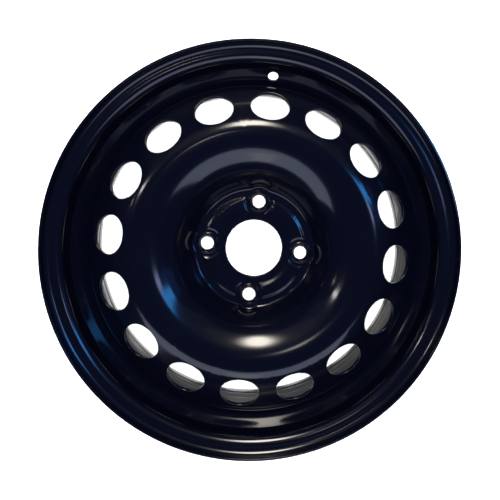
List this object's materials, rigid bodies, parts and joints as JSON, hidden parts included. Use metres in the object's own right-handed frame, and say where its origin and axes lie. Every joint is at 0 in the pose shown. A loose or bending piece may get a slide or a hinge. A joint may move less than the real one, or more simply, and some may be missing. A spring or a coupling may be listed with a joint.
{
  "type": "steel wheel rim",
  "caption": "Black painted pressed steel road wheel: a rolled drop-centre barrel welded to a domed disc with a ring of oval vents, a bolt circle and a centre bore for the hub.",
  "frame": {"origin": "on the wheel axis, in the plane of the hub mounting face, at the centre of the bore", "axes": "+Z along the wheel axis towards the outboard face, +Y from the axis towards the valve hole, so the wheel lies on its inboard flange"},
  "size_m": [0.4402, 0.44, 0.1892],
  "materials": {
    "paint": "gloss black dip paint with a slight navy tint"
  },
  "bodies": {
    "root": {"rim_barrel": "paint", "wheel_disc": "paint", "weld_stitches": "paint"}
  },
  "joints": []
}
